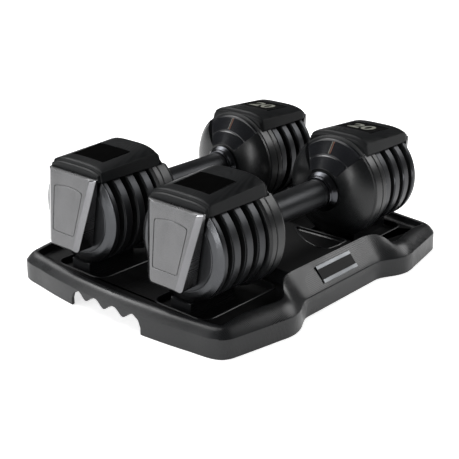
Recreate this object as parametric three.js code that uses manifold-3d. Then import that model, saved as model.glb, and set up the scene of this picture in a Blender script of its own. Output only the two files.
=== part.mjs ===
// A pair of adjustable dumbbells with twist handles, resting in their moulded storage tray.
// Millimetres, +Z up. The handles lie along X, the two dumbbells stand side by side along Y, and
// the origin is on the floor under the middle of the tray. Every dumbbell is built once in its own
// frame, with the handle's axis on X, and its two ends mirror each other.
import * as THREE from 'three';
import { mergeVertices } from 'three/addons/utils/BufferGeometryUtils.js';
import Module from 'manifold-3d';

const wasm = await Module();
wasm.setup();

// Driving dimensions.
const FIT = 0.3; // free gap between neighbouring pieces
const AXIS_SPACING = 150;
const AXIS_HEIGHT = 87.4;

const PLATE = { radius: 55.2, thickness: 10, pitch: 18.3, outerFace: 170, count: 4, flatTop: 42, bore: 10.4,
  outerBevel: 12, bevel: 1.2 };
const TWIST = { steps: 4, degreesPerStep: 60 };
const GRIP = { radius: 16.4, halfLength: 58, journalRadius: 14.8, journalEnd: 70, bore: 12.9 };
const SLEEVE = { outer: 12.6, inner: 9.6, halfLength: 66 };
const BAR = { radius: 9, tip: 97.8, tail: 60, pinAt: 56, pinRadius: 1.9, pinTop: 12.2, split: 0.3 };
const COLLAR = { inner: 50, outer: 59.4, smallRadius: 18.4, largeRadius: 23 };
const BUSH = { outer: 18.4, start: 60.6, end: 70 };
const HOUSING = { face: 60, back: 102, hub: 24, shoulderAt: 70, shoulder: 51, rimAt: 83, rim: 59.4, barBore: 9.7 };
const FAN = { lowX: 60.8, lowRadius: 25, highX: 82.4, highRadius: 57.2, angle: 42, plate: 2.2 };
const HOOD = { start: 84, crestStart: 88.6, crestEnd: 166, end: 172, bottom: 43, halfWidth: 37.6, skirtWidth: 40 };
const LENS = { centre: 133.4, length: 38.4, width: 47, thickness: 1.6, z: 59.6, tilt: 4.3 };
const CAP = { back: 172.3, top: 46.6, topFront: 178, topWidth: 37.4, bottom: -32.9, bottomFront: 195.1, bottomWidth: 23 };
const TRAY = { endX: 206.5, endBow: 15.6, sideY: 151.7, bulgeY: 166.2, deck: 23, platform: 40, platformX: 57.5 };
const POCKET = { start: 64, end: 173, halfWidth: 36, floor: 17, ridge: 1.5, ridgeWidth: 2.2, radius: 12 };
const FINGER = { halfWidth: 52, crest: 20, tip: 12.5, pitch: 28, depth: 20 };
const FOOT = { x: 168, y: 122, radius: 9, height: 2.5, bossRadius: 11 };
const BADGE = { length: 60, width: 20, thickness: 1.2, slope: 48.3, panelY: 148.7, panelZ: 23.9, along: 12.3 };

const barTravel = TWIST.steps * PLATE.pitch;
const twistRange = THREE.MathUtils.degToRad(TWIST.steps * TWIST.degreesPerStep);

const FINISH = {
  trayPlastic: { color: 0x1b1c1e, roughness: 0.5, metalness: 0 },
  hoodPlastic: { color: 0x232426, roughness: 0.42, metalness: 0 },
  gunmetal: { color: 0x4b4d50, roughness: 0.35, metalness: 0.6 },
  coatedSteel: { color: 0x2c2d2f, roughness: 0.4, metalness: 0.8 },
  barSteel: { color: 0x8c8f92, roughness: 0.3, metalness: 1 },
  handleMetal: { color: 0x3a3b3d, roughness: 0.38, metalness: 0.9 },
  blackGloss: { color: 0x050505, roughness: 0.08, metalness: 0 },
  bronze: { color: 0x8a6a3c, roughness: 0.4, metalness: 1 },
  rubber: { color: 0x111111, roughness: 0.9, metalness: 0 },
  silver: { color: 0xb8babc, roughness: 0.25, metalness: 1 },
};

const set = new THREE.Group();

// ---- Solids: closed meshes that can be joined and cut ----

function solid(geometry) {
  const bare = geometry.index ? geometry.toNonIndexed() : geometry.clone();
  bare.deleteAttribute('normal');
  bare.deleteAttribute('uv');
  const merged = mergeVertices(bare, 1e-4);
  return new wasm.Manifold(new wasm.Mesh({
    numProp: 3,
    vertProperties: new Float32Array(merged.attributes.position.array),
    triVerts: new Uint32Array(merged.index.array),
  }));
}

function geometryOf(body) {
  const mesh = body.getMesh();
  const geometry = new THREE.BufferGeometry();
  geometry.setAttribute('position', new THREE.BufferAttribute(new Float32Array(mesh.vertProperties), 3));
  geometry.setIndex(new THREE.BufferAttribute(new Uint32Array(mesh.triVerts), 1));
  geometry.computeVertexNormals();
  return geometry;
}

function join(bodies) {
  return bodies.reduce((sum, body) => sum.add(body));
}

function cut(body, tools) {
  return tools.reduce((rest, tool) => rest.subtract(tool), body);
}

function box(x0, x1, y0, y1, z0, z1) {
  const geometry = new THREE.BoxGeometry(x1 - x0, y1 - y0, z1 - z0);
  geometry.translate((x0 + x1) / 2, (y0 + y1) / 2, (z0 + z1) / 2);
  return solid(geometry);
}

// A solid of revolution about X. The profile is a list of [x, radius], closed on itself when it
// doesn't touch the axis.
function turned(profile, sides, closed = false) {
  const points = profile.map(([x, r]) => new THREE.Vector2(r, x));
  if (closed) points.push(points[0].clone());
  const area = points.reduce((sum, p, i) => {
    const q = points[(i + 1) % points.length];
    return sum + p.x * q.y - q.x * p.y;
  }, 0);
  if (area < 0) points.reverse();
  const geometry = new THREE.LatheGeometry(points, sides);
  geometry.rotateZ(-Math.PI / 2);
  return solid(geometry);
}

// An outline in the YZ plane, drawn out from x0 to x1.
function prismX(outline, x0, x1) {
  const shape = new THREE.Shape(outline.map(([y, z]) => new THREE.Vector2(y, z)));
  const geometry = new THREE.ExtrudeGeometry(shape, { depth: x1 - x0, bevelEnabled: false, curveSegments: 8 });
  geometry.applyMatrix4(new THREE.Matrix4().set(0, 0, 1, x0, 1, 0, 0, 0, 0, 1, 0, 0, 0, 0, 0, 1));
  return solid(geometry);
}

// An outline in the XY plane, drawn up from z0 to z1.
function prismZ(outline, z0, z1) {
  const shape = outline instanceof THREE.Shape ? outline : new THREE.Shape(outline);
  const geometry = new THREE.ExtrudeGeometry(shape, { depth: z1 - z0, bevelEnabled: false, curveSegments: 3 });
  geometry.translate(0, 0, z0);
  return solid(geometry);
}

// A closed skin over rings that all have the same number of points, each ring running the same way.
function loft(rings) {
  const count = rings[0].length;
  const triangles = [];
  const side = (a, b, c) => triangles.push(a, b, c);
  for (let level = 0; level < rings.length - 1; level++) {
    for (let i = 0; i < count; i++) {
      const j = (i + 1) % count;
      side(rings[level][i], rings[level][j], rings[level + 1][j]);
      side(rings[level][i], rings[level + 1][j], rings[level + 1][i]);
    }
  }
  const cap = (ring, flip) => {
    const flat = flattened(ring);
    THREE.ShapeUtils.triangulateShape(flat, []).forEach(([a, b, c]) => {
      if (flip) side(ring[a], ring[c], ring[b]);
      else side(ring[a], ring[b], ring[c]);
    });
  };
  cap(rings[0], true);
  cap(rings[rings.length - 1], false);
  const geometry = new THREE.BufferGeometry().setFromPoints(triangles);
  return solid(geometry);
}

// The ring's points in the two axes in which it is widest, for capping.
function flattened(ring) {
  const size = new THREE.Box3().setFromPoints(ring).getSize(new THREE.Vector3());
  if (size.x <= size.y && size.x <= size.z) return ring.map((p) => new THREE.Vector2(p.y, p.z));
  return ring.map((p) => new THREE.Vector2(p.x, p.y));
}

function mirroredX(geometry) {
  const copy = geometry.toNonIndexed();
  copy.scale(-1, 1, 1);
  const p = copy.attributes.position;
  for (let i = 0; i < p.count; i += 3) {
    const second = [p.getX(i + 1), p.getY(i + 1), p.getZ(i + 1)];
    p.setXYZ(i + 1, p.getX(i + 2), p.getY(i + 2), p.getZ(i + 2));
    p.setXYZ(i + 2, ...second);
  }
  copy.computeVertexNormals();
  return copy;
}

function addMesh(parent, name, geometry, finish) {
  const mesh = new THREE.Mesh(geometry, new THREE.MeshStandardMaterial(finish));
  mesh.name = name;
  parent.add(mesh);
  return mesh;
}

// ---- The dumbbell's pieces, each modelled for the +X end or for the whole handle ----

// Grip tube: smooth outside, with a thinner journal at each end that runs in the bushes.
function gripBody() {
  const half = [
    [GRIP.halfLength, GRIP.radius], [GRIP.halfLength, GRIP.journalRadius],
    [GRIP.journalEnd, GRIP.journalRadius], [GRIP.journalEnd, GRIP.bore],
  ];
  const otherHalf = half.map(([x, r]) => [-x, r]).reverse();
  return turned([...otherHalf, ...half], 24, true);
}

// A point on the cam sleeve's helical slot, t from 0 at rest to 1 at full twist.
function slotPoint(t, startAngle, startX, direction, radius) {
  const angle = startAngle - twistRange * t;
  const x = startX + direction * barTravel * t;
  return new THREE.Vector3(x, radius * Math.cos(angle), radius * Math.sin(angle));
}

class SlotCurve extends THREE.Curve {
  constructor(startAngle, startX, direction) {
    super();
    this.at = (t) => slotPoint(t, startAngle, startX, direction, (SLEEVE.outer + SLEEVE.inner) / 2);
  }

  getPoint(t) {
    const overrun = 0.035;
    return this.at(-overrun + t * (1 + 2 * overrun));
  }
}

// Cam sleeve inside the grip: its two helical slots drive the followers of the two lock bars.
function sleeveBody() {
  const tube = turned([
    [-SLEEVE.halfLength, SLEEVE.inner], [-SLEEVE.halfLength, SLEEVE.outer],
    [SLEEVE.halfLength, SLEEVE.outer], [SLEEVE.halfLength, SLEEVE.inner],
  ], 16, true);
  const section = new THREE.Shape();
  section.absarc(0, 0, 3.1, 0, Math.PI * 2);
  const slot = (angle, x, direction) => solid(new THREE.ExtrudeGeometry(section, {
    steps: 12, curveSegments: 4, bevelEnabled: false, extrudePath: new SlotCurve(angle, x, direction),
  }));
  return cut(tube, [slot(Math.PI / 2, BAR.pinAt, -1), slot(-Math.PI / 2, -BAR.pinAt, 1)]);
}

// Lock bar for the -X end: a half-round bar above the handle's middle plane, with a follower pin.
// Turned half a turn about Z and then over, it is the bar for the +X end.
function lockBarBody() {
  const arc = [];
  const steps = 10;
  const lift = Math.asin(BAR.split / BAR.radius);
  for (let i = 0; i <= steps; i++) {
    const angle = lift + ((Math.PI - 2 * lift) * i) / steps;
    arc.push([BAR.radius * Math.cos(angle), BAR.radius * Math.sin(angle)]);
  }
  const bar = prismX(arc, -BAR.tip, BAR.tail);
  const pin = new THREE.CylinderGeometry(BAR.pinRadius, BAR.pinRadius, BAR.pinTop - BAR.radius / 2, 10);
  pin.rotateX(Math.PI / 2);
  pin.translate(BAR.pinAt, 0, (BAR.pinTop + BAR.radius / 2) / 2);
  return join([bar, solid(pin)]);
}

// Conical collar between the grip and the housing; it turns with the grip.
function collarBody() {
  const bore = GRIP.radius + FIT;
  return turned([
    [COLLAR.inner, bore], [COLLAR.inner, COLLAR.smallRadius], [COLLAR.outer - 2.5, COLLAR.largeRadius],
    [COLLAR.outer, COLLAR.largeRadius], [COLLAR.outer, COLLAR.largeRadius - 3], [COLLAR.outer - 1.5, bore],
  ], 24, true);
}

function bushBody() {
  return turned([
    [BUSH.start, GRIP.journalRadius + FIT], [BUSH.start, BUSH.outer],
    [BUSH.end, BUSH.outer], [BUSH.end, GRIP.journalRadius + FIT],
  ], 20, true);
}

const housingCone = [
  [HOUSING.face, HOUSING.hub], [HOUSING.shoulderAt, HOUSING.shoulder], [76, 57], [HOUSING.rimAt, HOUSING.rim],
];

// A wedge round the +Z direction that reaches along X from one station to another.
function wedge(halfAngle, x0, x1) {
  const reach = 80;
  const side = reach * Math.tan(THREE.MathUtils.degToRad(halfAngle));
  return prismX([[0, 0], [side, reach], [-side, reach]], x0, x1);
}

// Inner housing: the domed round cover that faces the hand and carries the handle's bearing. Its
// upper sector is sunk to a sloping floor for the dial fan.
function housingBody() {
  const bushBore = BUSH.outer + FIT;
  const body = turned([
    [HOUSING.face, bushBore], ...housingCone, [HOUSING.back - 1.5, HOUSING.rim], [HOUSING.back, HOUSING.rim - 1.5],
    [HOUSING.back, HOUSING.barBore], [BUSH.end + 1, HOUSING.barBore], [BUSH.end + 1, bushBore],
  ], 28, true);
  const wide = HOUSING.rim + 5;
  const above = turned([
    [HOUSING.face - 10, FAN.lowRadius], [FAN.lowX, FAN.lowRadius], [FAN.highX, FAN.highRadius],
    [HOOD.start, wide], [HOUSING.face - 10, wide],
  ], 28, true);
  const sunk = above.intersect(wedge(FAN.angle, HOUSING.face - 10, HOOD.start + 2));
  return cut(body, [box(HOOD.start - FIT, HOUSING.back + 5, -wide, wide, HOOD.bottom - FIT, wide), sunk]);
}

// Dial fan: the sector plate on the sunk sloping floor, under the hood, that carries the pointer.
function dialBody() {
  const low = [FAN.lowX - FIT, FAN.lowRadius + 1];
  const high = [FAN.highX - 1, FAN.highRadius - 1];
  const shell = turned([low, high, [high[0] - FAN.plate, high[1]], [low[0] - FAN.plate, low[1]]], 28, true);
  return shell.intersect(wedge(FAN.angle - 0.8, HOUSING.face - 10, HOOD.start));
}

// The hood's cross-section at one station: a straight skirt, a rounded shoulder and an arched top.
function hoodRing(x, crown, shoulder, halfWidth) {
  const ring = [new THREE.Vector3(x, -HOOD.skirtWidth, HOOD.bottom), new THREE.Vector3(x, HOOD.skirtWidth, HOOD.bottom)];
  const steps = 10;
  for (let i = 0; i <= steps; i++) {
    const y = halfWidth * Math.cos((Math.PI * i) / steps);
    const drop = (crown - shoulder) * Math.abs(y / halfWidth) ** 4;
    ring.push(new THREE.Vector3(x, y, crown - drop));
  }
  return ring;
}

// Hood: the arched cover that bridges the plates from the housing to the end cap. Thin dividers
// hang from it into the gaps between the plates.
function hoodBody() {
  const slope = (x) => 63 - (x - HOOD.crestStart) * 0.068;
  const body = loft([
    hoodRing(HOOD.start, 58, 52.4, HOOD.halfWidth - 0.5),
    hoodRing(HOOD.crestStart, slope(HOOD.crestStart), 55.8, HOOD.halfWidth),
    hoodRing(HOOD.crestEnd, slope(HOOD.crestEnd), 52.6, HOOD.halfWidth),
    hoodRing(HOOD.crestEnd + 4, slope(HOOD.crestEnd) - 2, 50.8, HOOD.halfWidth - 0.5),
    hoodRing(HOOD.end, slope(HOOD.crestEnd) - 5, 48.6, HOOD.halfWidth - 1.5),
  ]);
  const lensSeat = solid(lensGeometry(2 * FIT, 8));
  const dividers = [];
  for (let gap = 1; gap < PLATE.count; gap++) {
    const middle = PLATE.outerFace - gap * PLATE.pitch + (PLATE.pitch - PLATE.thickness) / 2;
    dividers.push(box(middle - 1.5, middle + 1.5, -30, 30, 26, HOOD.bottom + 1));
  }
  return cut(join([body, ...dividers]), [lensSeat]);
}

// The display window, grown by a margin all round and drawn up, it is also its own seat.
function lensGeometry(margin, rise) {
  const geometry = new THREE.BoxGeometry(LENS.length + margin, LENS.width + margin, LENS.thickness + rise);
  geometry.translate(0, 0, rise / 2 - margin / 2);
  geometry.rotateY(THREE.MathUtils.degToRad(LENS.tilt));
  geometry.translate(LENS.centre, 0, LENS.z);
  return geometry;
}

// End cap: the leaning shield on the outer face, wide at the top and narrow at the bottom.
function capBody() {
  const chamferY = 6.5;
  const chamferX = 3;
  const level = (t) => {
    const z = THREE.MathUtils.lerp(CAP.top, CAP.bottom, t);
    const front = THREE.MathUtils.lerp(CAP.topFront, CAP.bottomFront, t);
    const w = THREE.MathUtils.lerp(CAP.topWidth, CAP.bottomWidth, t);
    return [
      [CAP.back, w], [front - chamferX, w], [front, w - chamferY],
      [front, chamferY - w], [front - chamferX, -w], [CAP.back, -w],
    ].map(([x, y]) => new THREE.Vector3(x, y, z)).reverse();
  };
  const foot = level(1).map((p) => new THREE.Vector3(Math.min(p.x, CAP.bottomFront - 3), p.y * 0.82, p.z));
  return loft([foot, level(0.94), level(0)]);
}

// Weight plate: a round plate with bevelled rims, a bore for the lock bar and a flat top edge that
// tucks in under the hood. Its outer face is at x.
function plateBody(x, bevel) {
  const inner = x - PLATE.thickness;
  const disc = turned([
    [inner, PLATE.bore], [inner, PLATE.radius - PLATE.bevel], [inner + PLATE.bevel, PLATE.radius],
    [x - bevel * 0.33, PLATE.radius], [x, PLATE.radius - bevel], [x, PLATE.bore],
  ], 26, true);
  const wide = PLATE.radius + 5;
  return cut(disc, [box(inner - 5, x + 5, -wide, wide, PLATE.flatTop, wide)]);
}

// ---- One whole dumbbell ----

const shared = {
  grip: geometryOf(gripBody()),
  sleeve: geometryOf(sleeveBody()),
  lockBar: geometryOf(lockBarBody()),
};

const endPieces = [
  ['handle_collar', geometryOf(collarBody()), FINISH.gunmetal],
  ['handle_bush', geometryOf(bushBody()), FINISH.bronze],
  ['inner_housing', geometryOf(housingBody()), FINISH.hoodPlastic],
  ['dial_fan', geometryOf(dialBody()), FINISH.hoodPlastic],
  ['hood', geometryOf(hoodBody()), FINISH.hoodPlastic],
  ['display_window', lensGeometry(0, 0), FINISH.blackGloss],
  ['end_cap', geometryOf(capBody()), FINISH.gunmetal],
];

for (let k = 0; k < PLATE.count; k++) {
  const bevel = k === 0 ? PLATE.outerBevel : PLATE.bevel;
  const outer = PLATE.outerFace - k * PLATE.pitch;
  endPieces.push([`weight_plate_${k + 1}`, geometryOf(plateBody(outer, bevel)), FINISH.coatedSteel]);
}

function addDumbbell(side, y) {
  const dumbbell = new THREE.Group();
  dumbbell.position.set(0, y, AXIS_HEIGHT);
  addMesh(dumbbell, `${side}_handle_grip`, shared.grip, FINISH.handleMetal);
  addMesh(dumbbell, `${side}_cam_sleeve`, shared.sleeve, FINISH.barSteel);
  addMesh(dumbbell, `${side}_front_lock_bar`, shared.lockBar, FINISH.barSteel);
  const rearBar = addMesh(dumbbell, `${side}_rear_lock_bar`, shared.lockBar, FINISH.barSteel);
  rearBar.rotation.y = Math.PI;
  for (const [piece, geometry, finish] of endPieces) {
    addMesh(dumbbell, `${side}_rear_${piece}`, geometry, finish);
    addMesh(dumbbell, `${side}_front_${piece}`, mirroredX(geometry), finish);
  }
  set.add(dumbbell);
}

addDumbbell('left', AXIS_SPACING / 2);
addDumbbell('right', -AXIS_SPACING / 2);

// ---- The tray ----

// A quarter of the tray's floor outline, from the middle of the +X end to the middle of the +Y side.
function quarterOutline() {
  const points = [];
  const endSteps = 6;
  const cornerY = 137;
  for (let i = 0; i < endSteps; i++) {
    const y = (cornerY * i) / endSteps;
    points.push([TRAY.endX - TRAY.endBow * (y / 150) ** 2, y]);
  }
  points.push([193.2, cornerY], [190.8, 144], [186, 149.2], [179, 152.6]);
  points.push([150, 158.4], [124, 163.2], [110, TRAY.bulgeY], [99, TRAY.bulgeY], [88, 162.6], [78, 157.4]);
  points.push([70, 153.4], [62, TRAY.sideY], [30, TRAY.sideY]);
  return points;
}

// How far in and how high the rim's crest lies over each point of the floor outline.
function crestOver([x, y]) {
  const waist = THREE.MathUtils.smoothstep(-Math.abs(x), -104, -62);
  const end = THREE.MathUtils.smoothstep(Math.abs(x), 150, 190);
  const inset = THREE.MathUtils.lerp(THREE.MathUtils.lerp(17.5, 13, end), 22.5, waist);
  const height = THREE.MathUtils.lerp(THREE.MathUtils.lerp(33.5, 30, end), 45, waist);
  return { inset, height };
}

function wholeOutline(quarter) {
  const second = quarter.slice().reverse().map(([x, y]) => [-x, y]);
  const half = [...quarter, ...second];
  const lower = half.slice(1, -1).reverse().map(([x, y]) => [x, -y]);
  return [...half, ...lower];
}

// The outline moved inwards by a distance that may differ from point to point.
function insetOutline(outline, distance) {
  return outline.map((point, i) => {
    const before = outline[(i + outline.length - 1) % outline.length];
    const after = outline[(i + 1) % outline.length];
    const along = new THREE.Vector2(after[0] - before[0], after[1] - before[1]).normalize();
    const d = typeof distance === 'function' ? distance(point) : distance;
    return [point[0] - along.y * d, point[1] + along.x * d];
  });
}

const outline = wholeOutline(quarterOutline());
const footPlaces = [[1, 1], [1, -1], [-1, 1], [-1, -1]].map(([i, j]) => [i * FOOT.x, j * FOOT.y]);
const ringAt = (points, z) => points.map(([x, y], i) => new THREE.Vector3(x, y, typeof z === 'function' ? z(i) : z));

function roundedBox(x0, x1, y0, y1, r) {
  const s = new THREE.Shape();
  s.moveTo(x0 + r, y0);
  s.lineTo(x1 - r, y0);
  s.absarc(x1 - r, y0 + r, r, -Math.PI / 2, 0);
  s.lineTo(x1, y1 - r);
  s.absarc(x1 - r, y1 - r, r, 0, Math.PI / 2);
  s.lineTo(x0 + r, y1);
  s.absarc(x0 + r, y1 - r, r, Math.PI / 2, Math.PI);
  s.lineTo(x0, y0 + r);
  s.absarc(x0 + r, y0 + r, r, Math.PI, Math.PI * 1.5);
  return s;
}

// The finger grip's section across the end of the tray: a slot with three bumps between the fingers.
function fingerOutline() {
  const points = [[-FINGER.halfWidth, -5]];
  const steps = 18;
  for (let i = 0; i <= steps; i++) {
    const y = -42 + (84 * i) / steps;
    const wave = 0.5 - 0.5 * Math.cos(((y + 42) / FINGER.pitch) * Math.PI * 2);
    points.push([y, FINGER.crest - (FINGER.crest - FINGER.tip) * wave ** 1.4]);
  }
  points.splice(1, 0, [-FINGER.halfWidth, 8], [-49, 15.5]);
  points.push([49, 15.5], [FINGER.halfWidth, 8], [FINGER.halfWidth, -5]);
  return points;
}

function trayBody() {
  const crest = outline.map(crestOver);
  const shoulder = insetOutline(outline, 3);
  const crestLine = insetOutline(outline, (point) => crestOver(point).inset);
  const skirtTop = 21.5;
  const shell = loft([
    ringAt(outline, 0), ringAt(insetOutline(outline, 0.6), skirtTop), ringAt(shoulder, skirtTop + 2.2),
    ringAt(crestLine, (i) => crest[i].height),
  ]);
  const inner = insetOutline(outline, (point) => crestOver(point).inset + 1.5).map(([x, y]) => new THREE.Vector2(x, y));
  const recess = prismZ(inner, TRAY.deck, 60);
  const platform = box(-TRAY.platformX, TRAY.platformX, -128, 128, TRAY.deck - 1, TRAY.platform);
  const floor = cut(recess, [platform]);
  let body = cut(shell, [floor]);
  const top = TRAY.deck + POCKET.ridge;
  for (const y of [-AXIS_SPACING / 2, AXIS_SPACING / 2]) {
    for (const end of [-1, 1]) {
      const xs = [end * POCKET.start, end * POCKET.end].sort((a, b) => a - b);
      const w = POCKET.halfWidth;
      const r = POCKET.radius;
      const wall = POCKET.ridgeWidth;
      const ridge = prismZ(roundedBox(xs[0] - wall, xs[1] + wall, y - w - wall, y + w + wall, r + wall), 20, top);
      const pocket = prismZ(roundedBox(xs[0], xs[1], y - w, y + w, r), POCKET.floor, 60);
      body = cut(join([body, ridge]), [pocket]).add(cradle(y, end));
    }
  }
  const cavity = prismZ(insetOutline(outline, 4).map(([x, y]) => new THREE.Vector2(x, y)), -1, POCKET.floor - 3);
  const middle = box(4 - TRAY.platformX, TRAY.platformX - 4, -116, 116, -1, TRAY.platform - 6);
  body = cut(body, [cavity, middle, ...handRecesses()]);
  for (const [x, y] of footPlaces) {
    body = body.add(drum(x, y, FOOT.bossRadius, FOOT.height + FIT, POCKET.floor - 2));
  }
  for (const end of [-1, 1]) {
    const reach = [end * (TRAY.endX + 5), end * (TRAY.endX - FINGER.depth)].sort((a, b) => a - b);
    body = cut(body, [prismX(fingerOutline(), reach[0], reach[1])]);
  }
  return body;
}

// A drum standing on the XY plane, between two heights.
function drum(x, y, radius, z0, z1) {
  const geometry = new THREE.CylinderGeometry(radius, radius, z1 - z0, 16);
  geometry.rotateX(Math.PI / 2);
  geometry.translate(x, y, (z0 + z1) / 2);
  return solid(geometry);
}

// The shallow three-cornered recess in the platform beside each handle: two straight sides and a bow.
// The two are half a turn apart.
function handRecesses() {
  const depth = 3;
  return [1, -1].map((turn) => {
    const corner = new THREE.Vector2(56, -113);
    const shape = new THREE.Shape();
    shape.moveTo(corner.x * turn, corner.y * turn);
    shape.lineTo(corner.x * turn, -42 * turn);
    shape.quadraticCurveTo(22 * turn, -66 * turn, 14 * turn, -108 * turn);
    shape.lineTo(18 * turn, corner.y * turn);
    return prismZ(shape, TRAY.platform - depth, TRAY.platform + depth);
  });
}

// Cradle in a pocket: a saddle that carries the plates of one end, with fins that keep them upright.
function cradle(y, end) {
  const saddleWidth = 14;
  const saddleTop = 33.5;
  const fin = { halfThickness: 2.4, halfWidth: 12, top: 46 };
  const x0 = PLATE.outerFace - PLATE.pitch * (PLATE.count - 1) - PLATE.thickness;
  const x1 = PLATE.outerFace;
  const span = (a, b) => [end * a, end * b].sort((p, q) => p - q);
  const block = box(...span(x0, x1), y - saddleWidth, y + saddleWidth, POCKET.floor - 1, saddleTop);
  const [low, high] = span(x0 - 5, x1 + 5);
  const bedRadius = PLATE.radius + FIT;
  const bed = turned([[low, 0], [low, bedRadius], [high, bedRadius], [high, 0]], 26).translate([0, y, AXIS_HEIGHT]);
  const fins = [];
  for (let gap = 1; gap < PLATE.count; gap++) {
    const middle = PLATE.outerFace - gap * PLATE.pitch + (PLATE.pitch - PLATE.thickness) / 2;
    const [a, b] = span(middle - fin.halfThickness, middle + fin.halfThickness);
    fins.push(box(a, b, y - fin.halfWidth, y + fin.halfWidth, POCKET.floor - 1, fin.top));
  }
  return join([cut(block, [bed]), ...fins]);
}

addMesh(set, 'tray', geometryOf(trayBody()), FINISH.trayPlastic);

footPlaces.forEach(([x, y], i) => {
  addMesh(set, `rubber_foot_${i + 1}`, geometryOf(drum(x, y, FOOT.radius, 0, FOOT.height)), FINISH.rubber);
});

// Badge plate on the sloping panel in the middle of each long side.
for (const [name, side] of [['left_badge', 1], ['right_badge', -1]]) {
  const slope = THREE.MathUtils.degToRad(BADGE.slope);
  const badge = new THREE.BoxGeometry(BADGE.length, BADGE.width, BADGE.thickness);
  badge.rotateX(-side * slope);
  const out = BADGE.thickness / 2 + FIT;
  const y = BADGE.panelY - Math.cos(slope) * BADGE.along + Math.sin(slope) * out;
  const z = BADGE.panelZ + Math.sin(slope) * BADGE.along + Math.cos(slope) * out;
  badge.translate(0, side * y, z);
  addMesh(set, name, badge, FINISH.silver);
}

export default set;
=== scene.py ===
"""A pair of twist-handle adjustable dumbbells in their moulded storage tray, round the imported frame.

Sizes are in millimetres. The pieces of one dumbbell end are modelled once, for the rear end (+X), in
the dumbbell's own frame with the handle's axis on X, and then copied to the four ends.
"""

import logging
import math
from collections.abc import Callable, Sequence
from dataclasses import dataclass, field
from enum import Enum

import bmesh
import bpy
from mathutils import Matrix, Vector


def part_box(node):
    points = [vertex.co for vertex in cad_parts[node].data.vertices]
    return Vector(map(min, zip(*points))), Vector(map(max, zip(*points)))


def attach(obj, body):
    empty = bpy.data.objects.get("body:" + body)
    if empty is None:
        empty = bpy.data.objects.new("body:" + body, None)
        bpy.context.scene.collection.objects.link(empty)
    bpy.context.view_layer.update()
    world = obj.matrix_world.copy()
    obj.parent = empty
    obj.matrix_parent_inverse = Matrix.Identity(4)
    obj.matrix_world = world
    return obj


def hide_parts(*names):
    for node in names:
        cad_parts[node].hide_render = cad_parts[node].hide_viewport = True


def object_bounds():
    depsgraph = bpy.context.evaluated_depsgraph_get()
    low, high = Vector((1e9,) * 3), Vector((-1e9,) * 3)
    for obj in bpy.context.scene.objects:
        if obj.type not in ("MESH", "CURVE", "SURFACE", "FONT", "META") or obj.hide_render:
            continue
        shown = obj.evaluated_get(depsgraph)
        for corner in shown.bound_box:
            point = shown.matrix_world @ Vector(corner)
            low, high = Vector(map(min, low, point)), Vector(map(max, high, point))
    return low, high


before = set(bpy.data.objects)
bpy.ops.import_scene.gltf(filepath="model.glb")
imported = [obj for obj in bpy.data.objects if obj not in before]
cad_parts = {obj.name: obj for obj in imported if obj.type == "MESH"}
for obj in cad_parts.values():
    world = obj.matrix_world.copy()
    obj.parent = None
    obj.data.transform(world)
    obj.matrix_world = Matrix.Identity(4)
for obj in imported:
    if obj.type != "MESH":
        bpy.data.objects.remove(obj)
cad_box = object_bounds()

MM = 0.001
SIDES = ("left", "right")
ENDS = {"front": -1, "rear": 1}
LOG = logging.getLogger("dumbbells")

Flat = tuple[float, float]
Spot = tuple[float, float, float]
Ring = list[Spot]


# ---- Outlines ----


def smoothstep(low: float, high: float, value: float) -> float:
    """Eases from 0 at low to 1 at high."""
    t = min(max((value - low) / (high - low), 0.0), 1.0)
    return t * t * (3 - 2 * t)


def mix(a: float, b: float, t: float) -> float:
    """Goes from a to b as t goes from 0 to 1."""
    return a + (b - a) * t


def table_value(table: Sequence[Flat], key: float) -> float:
    """Reads a value between the rows of a table.

    Args:
        table: rows of (key, value) with rising keys.
        key: where to read.

    Returns:
        The value there, on straight lines between the rows.
    """
    for (k0, v0), (k1, v1) in zip(table, table[1:]):
        if key <= k1:
            return mix(v0, v1, (key - k0) / (k1 - k0))
    return table[-1][1]


def rounded(points: Sequence[Flat], radii: float | Sequence[float], steps: int = 5) -> list[Flat]:
    """Rounds the corners of a closed outline.

    Args:
        points: the corners.
        radii: one radius for all corners, or one for each; 0 keeps a corner sharp.
        steps: how many short edges make one rounded corner.

    Returns:
        The outline with an arc of points for each rounded corner.
    """
    count = len(points)
    each = [radii] * count if isinstance(radii, (int, float)) else list(radii)
    made: list[Flat] = []
    for i, (point, radius) in enumerate(zip(points, each)):
        if radius <= 0:
            made.append(tuple(point))
            continue
        corner = Vector(point)
        back = Vector(points[i - 1]) - corner
        ahead = Vector(points[(i + 1) % count]) - corner
        half = max(back.angle(ahead) / 2, 0.05)
        reach = min(radius / math.tan(half), 0.48 * back.length, 0.48 * ahead.length)
        if half > math.pi / 2 - 0.01:
            reach = min(radius, 0.3 * back.length, 0.3 * ahead.length)
        start = corner + back.normalized() * reach
        end = corner + ahead.normalized() * reach
        for k in range(steps + 1):
            t = k / steps
            first, second = start.lerp(corner, t), corner.lerp(end, t)
            bulge = first.lerp(second, t)
            made.append((bulge.x, bulge.y))
    return made


def flowing(points: Sequence[Flat], parts: int) -> list[Flat]:
    """Draws a smooth closed curve through the points, with a number of parts for each stretch."""
    count = len(points)
    made: list[Flat] = []
    for i in range(count):
        p0, p1, p2, p3 = (Vector(points[(i + k) % count]) for k in (-1, 0, 1, 2))
        for k in range(parts):
            t = k / parts
            spot = 0.5 * (
                2 * p1 + (p2 - p0) * t + (2 * p0 - 5 * p1 + 4 * p2 - p3) * t * t
                + (3 * p1 - p0 - 3 * p2 + p3) * t ** 3
            )
            made.append((spot.x, spot.y))
    return made


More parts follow.
